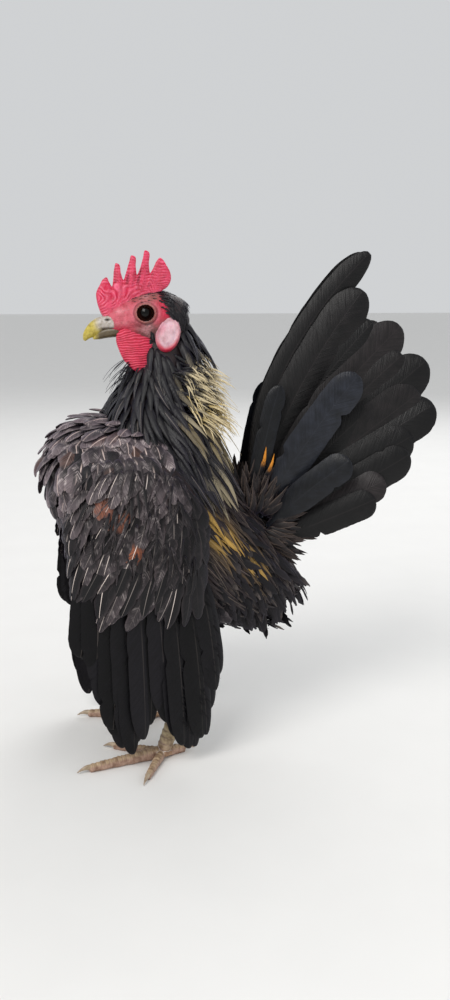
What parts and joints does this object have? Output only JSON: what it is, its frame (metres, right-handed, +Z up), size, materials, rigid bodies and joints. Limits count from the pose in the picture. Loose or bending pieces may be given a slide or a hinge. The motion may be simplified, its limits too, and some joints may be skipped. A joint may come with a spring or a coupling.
{
  "type": "serama cockerel, life-size still model",
  "caption": "Life-size still model of a black serama cockerel standing with its breast high, wings hanging and tail upright.",
  "frame": {"origin": "on the floor, at the middle of the bird's length and width", "axes": "-Y is the way the bird faces, +X is its left side and +Z is up"},
  "size_m": [0.0922, 0.1742, 0.2203],
  "materials": {
    "body_feather": "soft, dense black body feathers with pale shafts and a faint purple sheen",
    "hackle_feather": "glossy black hackles with straw-gold edges",
    "flight_feather": "smooth black flight and tail vanes with a green and blue sheen",
    "comb_skin": "moist, grained pink-red skin",
    "lobe_skin": "smooth pale skin with a red rim",
    "bill_horn": "smooth horn, yellow at the tip",
    "leg_scale": "scaled, yellow to pinkish skin",
    "claw_horn": "smooth pale horn",
    "eye": "wet, dark brown"
  },
  "bodies": {
    "root": {"torso": "body_feather", "neck": "hackle_feather", "head": "comb_skin", "comb": "comb_skin", "bill_upper": "bill_horn", "bill_lower": "bill_horn", "eye_left": "eye", "eye_right": "eye", "wattle_left": "comb_skin", "wattle_right": "comb_skin", "earlobe_left": "lobe_skin", "earlobe_right": "lobe_skin", "wing_left": "flight_feather", "wing_right": "flight_feather", "tail_left": "flight_feather", "tail_right": "flight_feather", "thigh_left": "body_feather", "thigh_right": "body_feather", "shank_left": "leg_scale", "shank_right": "leg_scale", "foot_left": "leg_scale", "foot_right": "leg_scale", "claw_left_inner": "claw_horn", "claw_left_middle": "claw_horn", "claw_left_outer": "claw_horn", "claw_left_hind": "claw_horn", "claw_right_inner": "claw_horn", "claw_right_middle": "claw_horn", "claw_right_outer": "claw_horn", "claw_right_hind": "claw_horn"}
  },
  "joints": []
}
